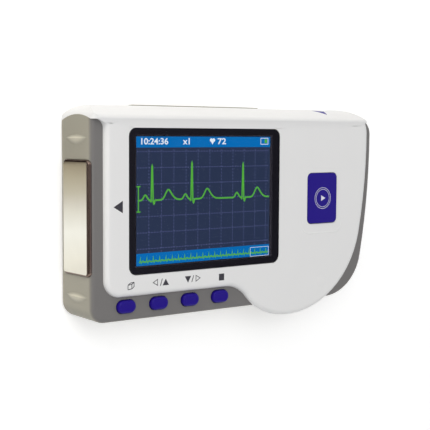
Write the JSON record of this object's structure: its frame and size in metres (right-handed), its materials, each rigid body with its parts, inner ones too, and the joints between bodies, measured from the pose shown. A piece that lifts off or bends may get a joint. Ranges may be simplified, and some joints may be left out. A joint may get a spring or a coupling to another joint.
{
  "type": "ecg home monitor",
  "caption": "Handheld home heart monitor with an L-shaped white front over a grey case, colour screen, oval buttons, a blue measure key, bare metal end electrodes and a sliding battery door.",
  "frame": {"origin": "middle of the bounding box on the flat back, which is the lowest face", "axes": "+X along the length, from the palm electrode to the finger electrodes; +Y towards the arched roof; +Z out of the screen"},
  "size_m": [0.129, 0.0766, 0.0209],
  "materials": {
    "white_shell": "satin",
    "grey_shell": "satin",
    "clear_window": "polished",
    "black_print": "gloss",
    "display_glass": "polished",
    "pressed_steel": "satin",
    "foam": "matte",
    "amber_film": "gloss",
    "ivory_plastic": "satin",
    "board_green": "satin",
    "black_plastic": "satin",
    "tan_ceramic": "satin",
    "blue_plastic": "gloss",
    "electrode_steel": "satin",
    "spring_bronze": "satin",
    "cell_can": "satin",
    "plated_wire": "bright",
    "screw_steel": "satin"
  },
  "bodies": {
    "case": {"front_cover": "white_shell", "main_housing": "grey_shell", "back_cover": "grey_shell", "window_lens": "clear_window", "window_mask": "black_print", "display_panel": "display_glass", "display_frame": "pressed_steel", "display_pad": "foam", "display_ribbon": "amber_film", "ribbon_connector": "ivory_plastic", "main_board": "board_green", "processor_chips": "black_plastic", "chip_capacitors": "tan_ceramic", "amplifier_shield": "pressed_steel", "crystal": "pressed_steel", "buzzer": "black_plastic", "data_socket": "pressed_steel", "switch_bodies": "ivory_plastic", "palm_electrode": "electrode_steel", "upper_finger_electrode": "electrode_steel", "lower_finger_electrode": "electrode_steel", "electrode_springs": "spring_bronze", "upper_cell": "cell_can", "lower_cell": "cell_can", "coil_springs": "plated_wire", "battery_contacts": "plated_wire", "case_screws": "screw_steel", "board_screws": "screw_steel"},
    "menu": {"menu_button": "blue_plastic", "menu_plunger": "black_plastic"},
    "left_up": {"left_button": "blue_plastic", "left_plunger": "black_plastic"},
    "right_down": {"right_button": "blue_plastic", "right_plunger": "black_plastic"},
    "stop": {"stop_button": "blue_plastic", "stop_plunger": "black_plastic"},
    "measure": {"measure_key": "blue_plastic", "measure_plunger": "black_plastic"},
    "door": {"battery_door": "grey_shell"}
  },
  "joints": [
    {"name": "menu_press", "type": "slide", "parent": "case", "child": "menu", "axis": [0, 0, -1], "range_m": [0, 0.00035], "stiffness_N_per_m": 1500, "springref_m": -0.0004},
    {"name": "left_up_press", "type": "slide", "parent": "case", "child": "left_up", "axis": [0, 0, -1], "range_m": [0, 0.00035], "stiffness_N_per_m": 1500, "springref_m": -0.0004},
    {"name": "right_down_press", "type": "slide", "parent": "case", "child": "right_down", "axis": [0, 0, -1], "range_m": [0, 0.00035], "stiffness_N_per_m": 1500, "springref_m": -0.0004},
    {"name": "stop_press", "type": "slide", "parent": "case", "child": "stop", "axis": [0, 0, -1], "range_m": [0, 0.00035], "stiffness_N_per_m": 1500, "springref_m": -0.0004},
    {"name": "measure_press", "type": "slide", "parent": "case", "child": "measure", "axis": [0, 0, -1], "range_m": [0, 0.00035], "stiffness_N_per_m": 1500, "springref_m": -0.0004},
    {"name": "door_slide", "type": "slide", "parent": "case", "child": "door", "axis": [0, 1, 0], "range_m": [0, 0.034]}
  ]
}
